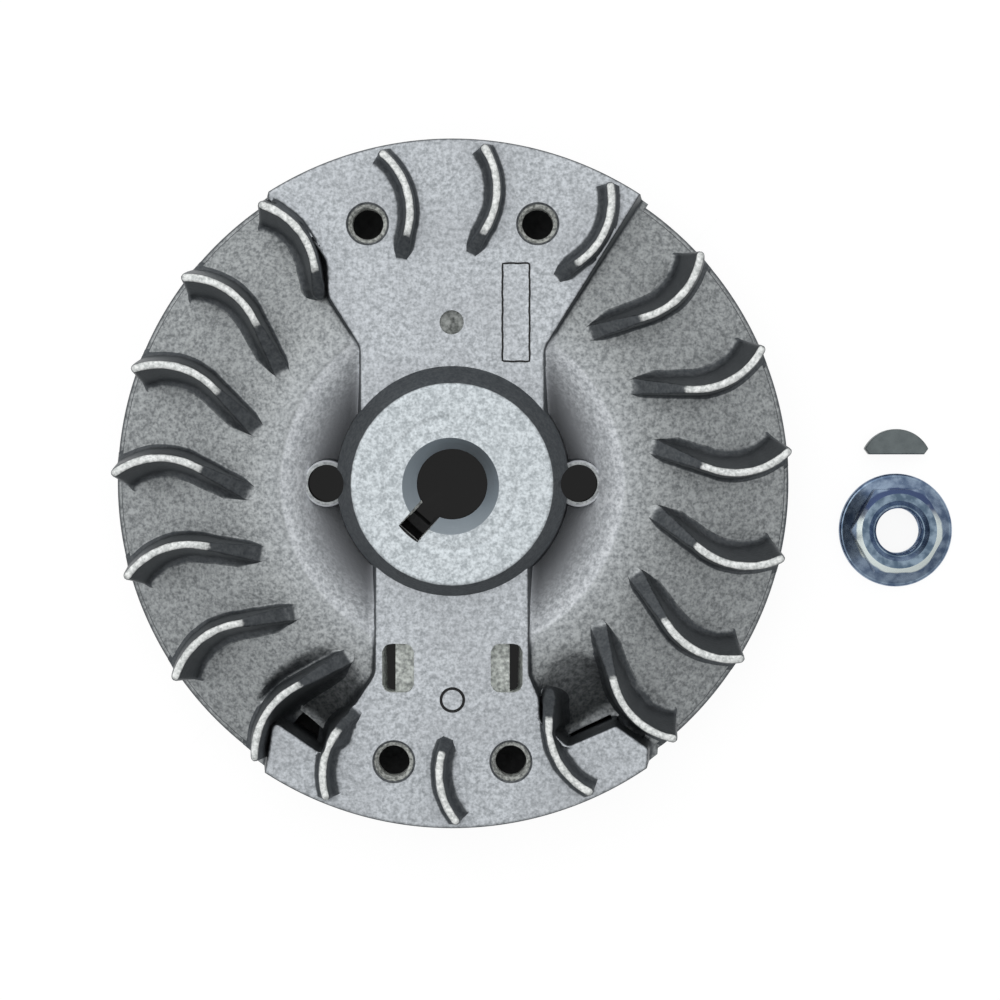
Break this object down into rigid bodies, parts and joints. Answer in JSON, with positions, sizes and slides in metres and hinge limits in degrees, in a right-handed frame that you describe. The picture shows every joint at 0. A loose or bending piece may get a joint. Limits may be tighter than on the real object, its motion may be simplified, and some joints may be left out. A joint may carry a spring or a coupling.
{
  "type": "flywheel",
  "caption": "Die-cast flywheel with curved fan blades, keyed taper bore, raised bar with threaded and puller holes and a cast-in magnet, with its half-moon key and flange nut.",
  "frame": {"origin": "on the crankshaft axis, in the back plane that the rim and the hub boss share", "axes": "+Z along the crankshaft axis from the back to the fan side, +Y along the raised bar away from the magnet, +X towards the loose key and nut"},
  "size_m": [0.1312, 0.106, 0.0265],
  "materials": {
    "cast_aluminium": "shot-blasted die casting",
    "magnet_alloy": "ground, cast in",
    "pole_steel": "turned sheet edges",
    "rivet_steel": "plain steel",
    "key_steel": "plain blanked steel",
    "zinc_plate": "blue-white zinc plate"
  },
  "bodies": {
    "flywheel": {"casting": "cast_aluminium", "magnet": "magnet_alloy", "left_pole_sheet_1": "pole_steel", "left_pole_sheet_2": "pole_steel", "left_pole_sheet_3": "pole_steel", "left_pole_sheet_4": "pole_steel", "left_pole_sheet_5": "pole_steel", "left_pole_sheet_6": "pole_steel", "left_pole_sheet_7": "pole_steel", "left_pole_sheet_8": "pole_steel", "left_pole_sheet_9": "pole_steel", "right_pole_sheet_1": "pole_steel", "right_pole_sheet_2": "pole_steel", "right_pole_sheet_3": "pole_steel", "right_pole_sheet_4": "pole_steel", "right_pole_sheet_5": "pole_steel", "right_pole_sheet_6": "pole_steel", "right_pole_sheet_7": "pole_steel", "right_pole_sheet_8": "pole_steel", "right_pole_sheet_9": "pole_steel", "left_pole_rivet_1": "rivet_steel", "left_pole_rivet_2": "rivet_steel", "right_pole_rivet_1": "rivet_steel", "right_pole_rivet_2": "rivet_steel"},
    "key": {"woodruff_key": "key_steel"},
    "nut": {"flange_nut": "zinc_plate"}
  },
  "joints": [
    {"name": "key_lift", "type": "slide", "parent": "flywheel", "child": "key", "axis": [0, 0, 1], "range_m": [0, 0.04]},
    {"name": "nut_lift", "type": "slide", "parent": "flywheel", "child": "nut", "axis": [0, 0, 1], "range_m": [0, 0.04]}
  ]
}
